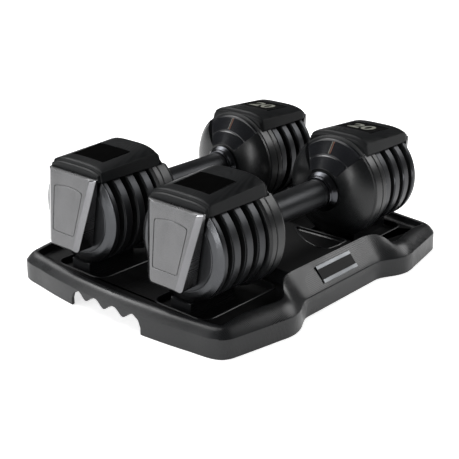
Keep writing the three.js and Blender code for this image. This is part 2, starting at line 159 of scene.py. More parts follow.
def offset(outline: Sequence[Flat], distance: float | Callable[[Flat], float]) -> list[Flat]:
    """Moves a closed outline inwards.

    Args:
        outline: the points, anticlockwise.
        distance: how far, or a function that tells it for a point.

    Returns:
        The moved points, in the same order.
    """
    made: list[Flat] = []
    count = len(outline)
    for i, point in enumerate(outline):
        along = Vector(outline[(i + 1) % count]) - Vector(outline[i - 1])
        along.normalize()
        d = distance(point) if callable(distance) else distance
        made.append((point[0] - along.y * d, point[1] + along.x * d))
    return made


def box_outline(x0: float, x1: float, y0: float, y1: float, radius: float, steps: int = 6) -> list[Flat]:
    """Gives a rectangle with rounded corners, anticlockwise."""
    return rounded([(x0, y0), (x1, y0), (x1, y1), (x0, y1)], radius, steps)


def at_height(outline: Sequence[Flat], z: float) -> Ring:
    """Lays an outline flat at one height."""
    return [(x, y, z) for x, y in outline]


def at_station(outline: Sequence[Flat], x: float) -> Ring:
    """Stands an outline of (y, z) points across the X axis at one station."""
    return [(x, y, z) for y, z in outline]


# ---- The bench: modelling with Blender's own operators ----


class Bench:
    """Starts, shapes and finishes bodies, with nothing left selected from the work before."""

    @staticmethod
    def pick(*bodies: bpy.types.Object) -> None:
        """Selects only these bodies, the first of them active."""
        bpy.ops.object.select_all(action="DESELECT")
        for body in bodies:
            body.select_set(True)
        bpy.context.view_layer.objects.active = bodies[0]

    @staticmethod
    def _set_selected(body: bpy.types.Object, ring: Ring) -> None:
        """Puts the selected vertices, in their order, on the points of a ring."""
        mesh = bmesh.from_edit_mesh(body.data)
        chosen = [v for v in mesh.verts if v.select]
        for vertex, point in zip(chosen, ring, strict=True):
            vertex.co = Vector(point) * MM
        bmesh.update_edit_mesh(body.data)

    @staticmethod
    def loft(name: str, rings: Sequence[Ring], tube: bool = False) -> bpy.types.Object:
        """Models a body by extruding a circle of edges from one ring of points to the next.

        Args:
            name: the new object's name.
            rings: rings with the same number of points each.
            tube: True joins the last ring to the first; False fills both ends.

        Returns:
            The new closed body.
        """
        bpy.ops.object.select_all(action="DESELECT")
        bpy.ops.mesh.primitive_circle_add(vertices=len(rings[0]), radius=1, fill_type="NOTHING")
        body = bpy.context.object
        body.name = body.data.name = name
        bpy.ops.object.mode_set(mode="EDIT")
        Bench._set_selected(body, rings[0])
        if not tube:
            bpy.ops.mesh.edge_face_add()
        for ring in [*rings[1:], *([rings[0]] if tube else [])]:
            bpy.ops.mesh.extrude_region_move(TRANSFORM_OT_translate={"value": (0, 0, 0)})
            Bench._set_selected(body, ring)
        bpy.ops.mesh.select_all(action="SELECT")
        bpy.ops.mesh.remove_doubles(threshold=1e-7)
        bpy.ops.mesh.normals_make_consistent(inside=False)
        bpy.ops.object.mode_set(mode="OBJECT")
        return body

    @staticmethod
    def turn(name: str, profile: Sequence[Flat], sides: int = 96) -> bpy.types.Object:
        """Turns a closed profile of (x, radius) points round the X axis."""
        angles = [2 * math.pi * i / sides for i in range(sides)]
        rings = [[(x, r * math.cos(a), r * math.sin(a)) for a in angles] for x, r in profile]
        return Bench.loft(name, rings, tube=True)

    @staticmethod
    def block(name: str, low: Spot, high: Spot, soft: float = 0.0) -> bpy.types.Object:
        """Makes a block between two corners, its edges rounded by a small radius."""
        bpy.ops.object.select_all(action="DESELECT")
        size = [b - a for a, b in zip(low, high)]
        middle = [(a + b) / 2 for a, b in zip(low, high)]
        bpy.ops.mesh.primitive_cube_add(size=MM)
        body = bpy.context.object
        body.name = body.data.name = name
        bpy.ops.object.mode_set(mode="EDIT")
        bpy.ops.transform.resize(value=size, center_override=(0, 0, 0))
        bpy.ops.transform.translate(value=[m * MM for m in middle])
        if soft:
            bpy.ops.mesh.bevel(offset=soft * MM, segments=4, affect="EDGES")
        bpy.ops.object.mode_set(mode="OBJECT")
        return body

    @staticmethod
    def modify(body: bpy.types.Object, kind: str, **settings: object) -> None:
        """Adds a modifier with its settings and applies it."""
        Bench.pick(body)
        modifier = body.modifiers.new(kind.title(), kind)
        for key, value in settings.items():
            setattr(modifier, key, value)
        bpy.ops.object.modifier_apply(modifier=modifier.name)

    @staticmethod
    def combine(body: bpy.types.Object, tool: bpy.types.Object, how: str) -> None:
        """Joins a tool to a body or cuts it away, and removes the tool."""
        Bench.modify(body, "BOOLEAN", object=tool, operation=how, solver="MANIFOLD")
        bpy.data.meshes.remove(tool.data)

    @staticmethod
    def cut(body: bpy.types.Object, *tools: bpy.types.Object) -> None:
        """Cuts tools away from a body."""
        for tool in tools:
            Bench.combine(body, tool, "DIFFERENCE")

    @staticmethod
    def join(body: bpy.types.Object, *tools: bpy.types.Object) -> None:
        """Joins tools to a body."""
        for tool in tools:
            Bench.combine(body, tool, "UNION")

    @staticmethod
    def soften(body: bpy.types.Object, width: float, segments: int = 3, angle: float = 35) -> None:
        """Rounds the edges that turn by more than an angle."""
        Bench.modify(
            body, "BEVEL", width=width * MM, segments=segments, limit_method="ANGLE",
            angle_limit=math.radians(angle), use_clamp_overlap=True, miter_outer="MITER_ARC",
        )

    @staticmethod
    def shade(body: bpy.types.Object, angle: float = 34) -> None:
        """Shades a body smooth, except over edges that turn by more than an angle."""
        Bench.pick(body)
        bpy.ops.object.shade_smooth_by_angle(angle=math.radians(angle))

    @staticmethod
    def even(body: bpy.types.Object) -> None:
        """Weighs the shading by face area, so that broad faces stay flat beside small rounds."""
        Bench.modify(body, "WEIGHTED_NORMAL", keep_sharp=True, weight=50)

    @staticmethod
    def paint(body: bpy.types.Object, index: int, test: Callable[[Vector, Vector], bool]) -> None:
        """Gives the faces that pass a test of centre and normal, in millimetres, a material slot."""
        for face in body.data.polygons:
            if test(face.center / MM, face.normal):
                face.material_index = index

    @staticmethod
    def copy(master: bpy.types.Object, name: str, place: Matrix) -> bpy.types.Object:
        """Copies a body with its own mesh and moves that mesh.

        Args:
            master: the body to copy.
            name: the copy's name.
            place: the move, which may mirror.

        Returns:
            The copy, its object at the origin.
        """
        piece = bpy.data.objects.new(name, master.data.copy())
        piece.data.name = name
        bpy.context.scene.collection.objects.link(piece)
        piece.data.transform(place)
        if place.determinant() < 0:
            piece.data.flip_normals()
        return piece

    @staticmethod
    def discard(*bodies: bpy.types.Object) -> None:
        """Removes bodies that were only patterns for copies."""
        for body in bodies:
            bpy.data.meshes.remove(body.data)


# ---- Finishes ----


def hex_colour(code: str) -> tuple[float, float, float, float]:
    """Turns an sRGB hex colour such as 4a4b4d into linear values with alpha 1."""
    values = [int(code[i:i + 2], 16) / 255 for i in (0, 2, 4)]
    linear = [v / 12.92 if v <= 0.04045 else ((v + 0.055) / 1.055) ** 2.4 for v in values]
    return (*linear, 1.0)


def add_node(tree: bpy.types.NodeTree, kind: str, settings: dict[str, object],
             links: dict[str, object]) -> bpy.types.Node:
    """Adds a shader node.

    Args:
        tree: the material's or world's node tree.
        kind: the node's type name.
        settings: properties to set on the node.
        links: for each input, by name or number, a value or the socket that feeds it.

    Returns:
        The new node.
    """
    node = tree.nodes.new(kind)
    for key, value in settings.items():
        setattr(node, key, value)
    for key, value in links.items():
        if isinstance(value, bpy.types.NodeSocket):
            tree.links.new(value, node.inputs[key])
        else:
            node.inputs[key].default_value = value
    return node


class Grain(Enum):
    """The fine pattern of a surface, and how far it is drawn out along X, Y and Z.

    RINGED also serves the moulded, sprayed and printed surfaces, although their real grain is even.
    """

    RINGED = (1.0, 1.0, 1.0)
    BRUSHED = (0.03, 1.0, 1.0)


@dataclass(frozen=True)
class Finish:
    """One finish: its colours, its gloss and its fine pattern."""

    name: str
    colour: str
    shade: str
    roughness: float
    grain_mm: float
    relief_mm: float
    grain: Grain = Grain.RINGED
    metallic: float = 0.0
    specular: float = 0.5
    spread: float = 0.08
    patch_mm: float = 30.0
    # The colour of the lightened raised edges, partly wear and partly a painted highlight.
    edge: str = ""
    glow: float = 0.0

    def material(self, centre: Vector | None = None) -> bpy.types.Material:
        """Builds the material.

        Args:
            centre: a point in metres on the axis that a ringed pattern runs round.

        Returns:
            The material, made once for each name and centre.
        """
        label = self.name if centre is None else f"{self.name}_{'left' if centre.y > 0 else 'right'}"
        if label in bpy.data.materials:
            return bpy.data.materials[label]
        made = bpy.data.materials.new(label)
        made.use_nodes = True
        tree = made.node_tree
        shader = next(n for n in tree.nodes if n.type == "BSDF_PRINCIPLED")
        shader.inputs["Metallic"].default_value = self.metallic
        shader.inputs["Specular IOR Level"].default_value = self.specular
        shader.inputs["Emission Color"].default_value = hex_colour(self.colour)
        shader.inputs["Emission Strength"].default_value = self.glow
        spot = add_node(tree, "ShaderNodeTexCoord", {}, {}).outputs["Object"]
        shift = -(centre or Vector())
        placed = add_node(tree, "ShaderNodeMapping", {}, {
            "Vector": spot, "Location": shift, "Scale": self.grain.value,
        }).outputs[0]
        fine = self._pattern(tree, placed)
        patch = add_node(tree, "ShaderNodeTexNoise", {}, {
            "Vector": spot, "Scale": 1 / (self.patch_mm * MM), "Detail": 3.0,
        }).outputs["Fac"]
        blend = add_node(tree, "ShaderNodeMath", {"operation": "MULTIPLY_ADD"}, {
            0: fine, 1: 0.5, 2: patch,
        }).outputs[0]
        share = add_node(tree, "ShaderNodeMapRange", {}, {
            "Value": blend, "From Min": 0.45, "From Max": 1.05, "To Min": 0.0, "To Max": 1.0,
        }).outputs[0]
        colour = add_node(tree, "ShaderNodeMix", {"data_type": "RGBA"}, {
            "Factor": share, 6: hex_colour(self.colour), 7: hex_colour(self.shade),
        }).outputs[2]
        # Lighter raised edges: partly wear, partly a painted highlight.
        if self.edge:
            colour = self._worn_and_highlit_edges(tree, colour)
        tree.links.new(colour, shader.inputs["Base Color"])
        gloss = add_node(tree, "ShaderNodeMapRange", {}, {
            "Value": blend, "From Min": 0.45, "From Max": 1.05,
            "To Min": self.roughness - self.spread, "To Max": self.roughness + self.spread,
        }).outputs[0]
        tree.links.new(gloss, shader.inputs["Roughness"])
        relief = add_node(tree, "ShaderNodeBump", {}, {
            "Height": fine, "Distance": self.relief_mm * MM, "Strength": 0.6,
        }).outputs[0]
        tree.links.new(relief, shader.inputs["Normal"])
        return made

    def _pattern(self, tree: bpy.types.NodeTree, place: bpy.types.NodeSocket) -> bpy.types.NodeSocket:
        """Adds the fine pattern: faint rings round the axis, or lines along brushed metal."""
        if self.grain is Grain.RINGED:
            return add_node(tree, "ShaderNodeTexWave", {"wave_type": "RINGS", "rings_direction": "X"}, {
                "Vector": place, "Scale": 0.31 / (self.grain_mm * MM), "Distortion": 0.6, "Detail": 2.0,
            }).outputs["Fac"]
        return add_node(tree, "ShaderNodeTexNoise", {}, {
            "Vector": place, "Scale": 1 / (self.grain_mm * MM), "Detail": 4.0, "Roughness": 0.6,
        }).outputs["Fac"]

    def _worn_and_highlit_edges(self, tree: bpy.types.NodeTree, colour: bpy.types.NodeSocket) -> bpy.types.NodeSocket:
        """Lightens the raised edges: partly wear rubbed through the coat, partly a painted highlight along them."""
        sharp = add_node(tree, "ShaderNodeNewGeometry", {}, {}).outputs["Pointiness"]
        wear_and_highlight = add_node(tree, "ShaderNodeMapRange", {}, {
            "Value": sharp, "From Min": 0.53, "From Max": 0.6, "To Min": 0.0, "To Max": 0.8,
        }).outputs[0]
        return add_node(tree, "ShaderNodeMix", {"data_type": "RGBA"}, {
            "Factor": wear_and_highlight, 6: colour, 7: hex_colour(self.edge),
        }).outputs[2]


# Injection-moulded polypropylene: near black and satin.
TRAY_PLASTIC = Finish("black_moulded_polypropylene", "121314", "17181a", 0.34, 0.9, 0.04, specular=0.36)
# The same plastic with a coarser pattern on the deck between the pockets, its colour darkened as painted shade under
# the dumbbells and between the rims.
SHADED_DECK_PLASTIC = Finish("coarse_polypropylene_painted_shade", "060607", "0b0b0c", 0.6, 1.6, 0.2, specular=0.18)
# Satin moulded ABS of the hoods: smooth, with little sheen.
HOOD_PLASTIC = Finish("satin_black_moulded_abs", "131415", "18191a", 0.38, 0.7, 0.02, specular=0.12)
# The same ABS, smoother, on the domed housings.
DOME_PLASTIC = Finish("smooth_black_moulded_abs", "141516", "1a1b1c", 0.32, 0.7, 0.01, specular=0.36)
# Polished ABS of the dial fans: the same black with a clear, hard gloss.
FAN_PLASTIC = Finish("polished_black_abs", "131416", "191a1e", 0.18, 1.2, 0.01, specular=0.42, spread=0.03)
# Metallic lacquer on moulded ABS: gunmetal with a satin sheen that varies a little from place to place.
GUNMETAL = Finish("gunmetal_metallic_lacquer", "626263", "6c6c6d", 0.28, 0.5, 0.01, metallic=1.0, spread=0.05)
# The same lacquer on the shields' chamfers, buffed to a higher gloss, its colour lightened a little as a painted
# highlight.
BUFFED_GUNMETAL_HIGHLIGHT = Finish("buffed_gunmetal_painted_highlight", "68686a", "727274", 0.17, 0.5, 0.005, metallic=1.0, spread=0.03)
# Blackened steel with a satin powder coat: turned rings stay faintly visible under the coat. Its raised edges are
# lightened, partly as wear and partly as a painted highlight.
COATED_STEEL = Finish("satin_coated_plate_steel", "2c2d2f", "343537", 0.34, 1.1, 0.02, metallic=0.8,
                      spread=0.05, edge="66676a")
# The plates' flat faces that look into the narrow gaps beside them: dull, and darkened to near black as painted
# shade.
SHADED_PLATE_FACE = Finish("dull_plate_face_painted_shade", "0e0f10", "151617", 0.6, 1.4, 0.05, specular=0.25)
# The wide bevel of the outermost plate: machined, with a satin metallic sheen.
PLATE_BEVEL = Finish("machined_plate_bevel", "434446", "4c4d4f", 0.28, 1.1, 0.01, metallic=1.0,
                     spread=0.05)
# Black-chromed steel tube: satin, with fine polishing lines round it.
HANDLE_METAL = Finish("satin_black_chromed_steel", "232426", "2a2b2d", 0.42, 0.8, 0.01, metallic=0.7,
                      spread=0.05)
# The collars, of the same steel but polished.
COLLAR_METAL = Finish("polished_black_chromed_steel", "3c3d40", "46474a", 0.22, 0.8, 0.01, metallic=1.0,
                      spread=0.04)
# Bright zinc-plated steel: pale, its gloss varied by fine rings.
ZINC_STEEL = Finish("bright_zinc_plated_steel", "8f9296", "a6a9ac", 0.26, 1.5, 0.01, metallic=1.0)
# Sintered bronze: dull gold-brown, with patches of wear.
BRONZE = Finish("sintered_bronze", "8a683a", "6e5230", 0.42, 0.8, 0.05, metallic=1.0)
# Moulded rubber: matt, slightly dusty black.
RUBBER = Finish("matt_moulded_rubber", "101010", "1a1a1a", 0.85, 1.2, 0.1, specular=0.3)
# Back-printed black acrylic: a flat, glossy window.
ACRYLIC = Finish("black_back_printed_acrylic", "010101", "020202", 0.12, 2.0, 0.002, specular=0.03, spread=0.03)
# Brushed aluminium: grey bars with fine lines along them.
ALUMINIUM = Finish("brushed_aluminium", "6a6c6e", "5e6062", 0.38, 0.4, 0.01, grain=Grain.BRUSHED, metallic=1.0)
# Printed enamel: grey for the number and the index line, red-brown for the pointer.
GREY_ENAMEL = Finish("light_grey_printed_enamel", "777870", "828379", 0.5, 0.6, 0.005)
ORANGE_ENAMEL = Finish("orange_brown_printed_enamel", "6b3a22", "5e321d", 0.45, 0.6, 0.005)
# Matt studio card, lit from below like a light table.
STUDIO_CARD = Finish("matt_white_card", "f4f4f4", "f7f7f7", 0.9, 2.0, 0.0, specular=0.0, patch_mm=400,
                     glow=0.8)


def hand_in(piece: bpy.types.Object, body: str, finishes: Sequence[bpy.types.Material],
            nodes: Sequence[str] = ()) -> bpy.types.Object:
    """Dresses a finished piece and ties it to the frame.

    Args:
        piece: the finished piece.
        body: the CAD body it moves with.
        finishes: its materials, in the order of its slots.
        nodes: the CAD nodes that it stands for.

    Returns:
        The piece.
    """
    indices = [face.material_index for face in piece.data.polygons]
    piece.data.materials.clear()
    for finish in finishes:
        piece.data.materials.append(finish)
    piece.data.polygons.foreach_set("material_index", indices)
    Bench.even(piece)
    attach(piece, body)
    if nodes:
        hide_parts(*nodes)
    faces = len(piece.data.polygons)
    LOG.info("%s: %d faces, rides on %s", piece.name, faces, body)
    return piece


# ---- The studio ----


@dataclass
class Lamp:
    """A soft box: where it stands round the object, how big it is and how bright."""

    name: str
    azimuth: float
    height: float
    distance: float
    width: float
    tall: float
    power: float


@dataclass
class Studio:
    """Floor, soft light and camera. Lengths are metres here."""

    middle: Vector
    view_azimuth: float = -48.352
    view_elevation: float = 21.422
    lamps: list[Lamp] = field(default_factory=lambda: [
        Lamp("key_softbox", -128, 0.75, 2.2, 1.3, 1.2, 15),
        Lamp("front_softbox", -80, 0.4, 2.4, 0.35, 1.3, 20),
        Lamp("high_softbox", -166, 1.9, 1.6, 1.0, 0.8, 16),
        Lamp("right_softbox", 58, 1.45, 2.1, 1.2, 1.0, 24),
    ])

    def floor(self) -> None:
        """Lays the pale floor."""
        bpy.ops.object.select_all(action="DESELECT")
        bpy.ops.mesh.primitive_plane_add(size=30, location=(0, 0, 0))
        card = bpy.context.object
        card.name = "studio_floor"
        card.data.materials.append(STUDIO_CARD.material())

    def light(self) -> None:
        """Hangs a broad overhead light, the soft boxes and a dim surround."""
        world = bpy.context.scene.world or bpy.data.worlds.new("surround")
        bpy.context.scene.world = world
        world.use_nodes = True
        backdrop = next(n for n in world.node_tree.nodes if n.type == "BACKGROUND")
        backdrop.inputs["Color"].default_value = (1, 1, 1, 1)
        backdrop.inputs["Strength"].default_value = 0.06
        sky = bpy.data.lights.new("overhead_light", "SUN")
        sky.energy = 2.2
        sky.angle = math.radians(55)
        hung = bpy.data.objects.new("overhead_light", sky)
        bpy.context.scene.collection.objects.link(hung)
        hung.rotation_euler = Vector((0.0, 0.55, 0.83)).to_track_quat("Z", "Y").to_euler()
        for lamp in self.lamps:
            self._softbox(lamp)

    def _softbox(self, lamp: Lamp) -> None:
        """Hangs one soft box, turned to the middle of the object."""
        data = bpy.data.lights.new(lamp.name, "AREA")
        data.shape = "RECTANGLE"
        data.size, data.size_y = lamp.width, lamp.tall
        data.energy = lamp.power
        box = bpy.data.objects.new(lamp.name, data)
        bpy.context.scene.collection.objects.link(box)
        a = math.radians(lamp.azimuth)
        box.location = self.middle + Vector((math.sin(a) * lamp.distance, -math.cos(a) * lamp.distance, lamp.height))
        box.rotation_euler = (box.location - self.middle).to_track_quat("Z", "Y").to_euler()

    def camera(self) -> None:
        """Sets the camera on its stand, level, looking down over the front right corner."""
        azimuth, elevation = math.radians(self.view_azimuth), math.radians(self.view_elevation)
        back = Vector((
            math.sin(azimuth) * math.cos(elevation), -math.cos(azimuth) * math.cos(elevation), math.sin(elevation),
        ))
        right = Vector((math.cos(azimuth), math.sin(azimuth), 0))
        up = back.cross(right)
        stand = Vector((0, 0, 87.36)) + back * 1141.457 - right * 8.671 - up * 45.004
        data = bpy.data.cameras.new("camera")
        data.sensor_width = 36
        data.lens = 79.24
        data.clip_end = 60
        eye = bpy.data.objects.new("camera", data)
        bpy.context.scene.collection.objects.link(eye)
        turn = Matrix((right, up, back)).transposed()
        eye.matrix_world = Matrix.Translation(stand * MM) @ turn.to_4x4()
        bpy.context.scene.camera = eye
        bpy.context.scene.view_settings.view_transform = "Standard"

    def build(self) -> None:
        """Sets up the whole studio."""
        self.floor()
        self.light()
        self.camera()


# ---- One end of a dumbbell ----


@dataclass
class WeightPlates:
    """The four round plates of an end; the outermost has the wide bevel."""

    radius: float = 55.2
    thickness: float = 10.0
    pitch: float = 18.3
    outer_face: float = 170.0
    bore: float = 10.4
    flat_top: float = 42.0
    bevels: tuple[float, ...] = (12.0, 1.2, 1.2, 1.2)
    flat_enough: float = 0.95

    def _profile(self, face: float, bevel: float) -> list[Flat]:
        """Gives a plate's closed half section: bore, outer face with a ring groove, bevel, rim, inner face."""
        back = face - self.thickness
        edge = self.radius - bevel
        corners = [
            (back, self.bore), (face, self.bore), (face, edge - 1.4), (face - 0.5, edge - 1.0),
            (face - 0.5, edge - 0.4), (face - 0.1, edge), (face - bevel * 0.33, self.radius),
            (back + 1.2, self.radius), (back, self.radius - 1.2),
        ]
        radii = [0.4, 0.6, 0.2, 0, 0, 0.3, 0.6, 0.5, 0.5]
        if bevel > self.thickness:
            corners.insert(6, (face - bevel * 0.09, edge + bevel * 0.48))
            radii[5:7] = [3.0, 8.0, 1.6]
        return rounded(corners, radii, 4)

    def build(self) -> dict[str, bpy.types.Object]:
        """Models the plates and cuts their flat top edges."""
        made = {}
        for k, bevel in enumerate(self.bevels):
            name = f"weight_plate_{k + 1}"
            plate = Bench.turn(name, self._profile(self.outer_face - k * self.pitch, bevel), 120)
            Bench.pick(plate)
            bpy.ops.object.mode_set(mode="EDIT")
            bpy.ops.mesh.select_all(action="SELECT")
            bpy.ops.mesh.bisect(
                plane_co=(0, 0, self.flat_top * MM), plane_no=(0, 0, 1), use_fill=True, clear_outer=True,
            )
            bpy.ops.object.mode_set(mode="OBJECT")
            # The faces that look into the gaps beside each plate are darkened: painted shade.
            Bench.paint(plate, 1, self._is_inner_face)
            if k:
                Bench.paint(plate, 1, self._is_outer_face)
            else:
                Bench.paint(plate, 2, self._is_wide_bevel)
            made[name] = plate
        return made

    def _is_inner_face(self, _: Vector, normal: Vector) -> bool:
        """Tells whether a face looks towards the handle."""
        return normal.x < -self.flat_enough

    def _is_outer_face(self, _: Vector, normal: Vector) -> bool:
        """Tells whether a face looks away from the handle."""
        return normal.x > self.flat_enough

    def _is_wide_bevel(self, centre: Vector, normal: Vector) -> bool:
        """Tells whether a face belongs to the outermost plate's wide bevel."""
        return 0.2 < normal.x < 0.995 and centre.x > self.outer_face - 5


@dataclass
class Housing:
    """The domed cover that faces the hand, with the dial fan and its pointer on it."""

    dome: tuple[Flat, ...] = (
        (24.0, 60.0), (27.0, 60.3), (31.0, 61.1), (36.0, 62.7), (41.0, 64.8), (46.0, 67.5),
        (50.0, 70.2), (53.0, 72.8), (55.5, 75.8), (57.2, 79.0),
    )
    rim: float = 59.4
    back: float = 102.0
    bush_bore: float = 18.7
    bar_bore: float = 9.7
    seat: float = 71.0
    hood_start: float = 83.7
    hood_bottom: float = 42.7
    proud: float = 2.2
    fan_angle: float = 42.0
    fan_low: Flat = (25.0, 60.8)
    fan_high: Flat = (57.2, 82.4)
    fan_margin: float = 0.8
    gap: float = 0.3
    sunk_field: float = 0.22
    arc_at: float = 0.447
    arc_half: float = 0.028

    def _floor_x(self, radius: float) -> float:
        """Tells the station of the sunk sector's sloping floor at a radius."""
        return table_value((self.fan_low, self.fan_high), radius)

    def _sector(self) -> bpy.types.Object:
        """Makes the tool that sinks the upper sector of the cover down to its sloping floor."""
        wide = self.rim + 5
        section = [
            (self.dome[0][1] - 10, self.fan_low[0]), self.fan_low[::-1], self.fan_high[::-1],
            (self.hood_start + self.gap, wide), (self.dome[0][1] - 10, wide),
        ]
        steps = 40
        turns = [math.radians(self.fan_angle * (2 * i / steps - 1)) for i in range(steps + 1)]
        return Bench.loft("tool", [[(x, r * math.sin(a), r * math.cos(a)) for x, r in section] for a in turns])

    def cover(self) -> bpy.types.Object:
        """Models the cover: dome, bead, rim band with a groove, back face and bearing bore."""
        dome = [(x, r) for r, x in self.dome]
        corners = [
            (self.face_x(), self.bush_bore), *dome, (80.0, 58.9), (81.4, self.rim), (91.6, self.rim),
            (92.2, self.rim - 1.1), (93.2, self.rim - 1.1), (93.8, self.rim), (99.8, self.rim),
            (self.back, self.rim - 2.6), (self.back, self.bar_bore), (self.seat, self.bar_bore),
            (self.seat, self.bush_bore),
        ]
        radii = [0, 0.8, *[0] * (len(dome) - 1), 0.5, 0.8, 0.4, 0.3, 0.3, 0.4, 1.0, 0.8, 0, 0, 0]
        body = Bench.turn("inner_housing", rounded(corners, radii, 4), 120)
        wide = self.rim + 5
        Bench.cut(body, Bench.block("tool", (self.hood_start, -wide, self.hood_bottom), (self.back + 5, wide, wide)))
        Bench.cut(body, self._sector())
        Bench.soften(body, 0.5, 2, 28)
        return body

    def face_x(self) -> float:
        """Tells the station of the hub's face."""
        return self.dome[0][1]

    def _fan_spot(self, across: float, up: float, rise: float) -> Spot:
        """Places a point of the fan: across from -1 to 1, up from 0 to 1, raised above the sunk floor."""
        angle = math.radians((self.fan_angle - self.fan_margin) * across)
        radius = mix(self.fan_low[0] + 1, self.fan_high[0] - 1, up)
        return self._floor_x(radius) - rise, radius * math.sin(angle), radius * math.cos(angle)

    def fan(self) -> bpy.types.Object:
        """Models the dial fan: a grid bent round the axis, thickened, with a raised border and an arc groove."""
        wide, tall = 56, 60
        bpy.ops.object.select_all(action="DESELECT")
        bpy.ops.mesh.primitive_grid_add(x_subdivisions=wide, y_subdivisions=tall, size=2)
        body = bpy.context.object
        body.name = body.data.name = "dial_fan"
        for vertex in body.data.vertices:
            across, up = vertex.co.x, (vertex.co.y + 1) / 2
            rise = self.gap + self.proud * self._fan_rise(across, up)
            vertex.co = Vector(self._fan_spot(across, up, rise)) * MM
        Bench.pick(body)
        bpy.ops.object.mode_set(mode="EDIT")
        bpy.ops.mesh.select_all(action="SELECT")
        bpy.ops.mesh.extrude_region_move(TRANSFORM_OT_translate={"value": (1.9 * MM, 0, 0)})
        bpy.ops.mesh.select_all(action="SELECT")
        bpy.ops.mesh.normals_make_consistent(inside=False)
        bpy.ops.object.mode_set(mode="OBJECT")
        Bench.soften(body, 0.45, 2, 50)
        return body

    def _fan_rise(self, across: float, up: float) -> float:
        """Tells how proud the fan stands: a raised border, a sunk field and a thin arc groove."""
        edge = min(1 - abs(across), 1.0)
        border = smoothstep(0.02, 0.06, edge) * smoothstep(0.02, 0.06, 1 - up)
        groove = 1 - abs(up - self.arc_at) / self.arc_half
        return 1.0 - self.sunk_field * border - 0.3 * max(groove, 0.0)

    def mark(self, name: str, y0: float, y1: float) -> bpy.types.Object:
        """Models a painted rib that stands on the fan.

        Args:
            name: the new object's name.
            y0: one side of the rib.
            y1: the other side.

        Returns:
            The rib.
        """
        rings = []
        for up, lift in ((0.52, 0.2), (0.54, 0.5), (0.91, 0.5), (0.93, 0.2)):
            x, _, z = self._fan_spot(0.0, up, self.gap + self.proud * (1 - self.sunk_field))
            rings.append([(x + 0.4, y0, z), (x + 0.4, y1, z), (x - lift, y1 - 0.15, z), (x - lift, y0 + 0.15, z)])
        return Bench.loft(name, rings)

    def build(self) -> dict[str, bpy.types.Object]:
        """Models the cover, the fan, the pointer and the index line beside it."""
        return {
            "inner_housing": self.cover(), "dial_fan": self.fan(),
            "pointer_mark": self.mark("pointer_mark", -1.7, -0.3), "index_line": self.mark("index_line", 0.6, 1.4),
        }


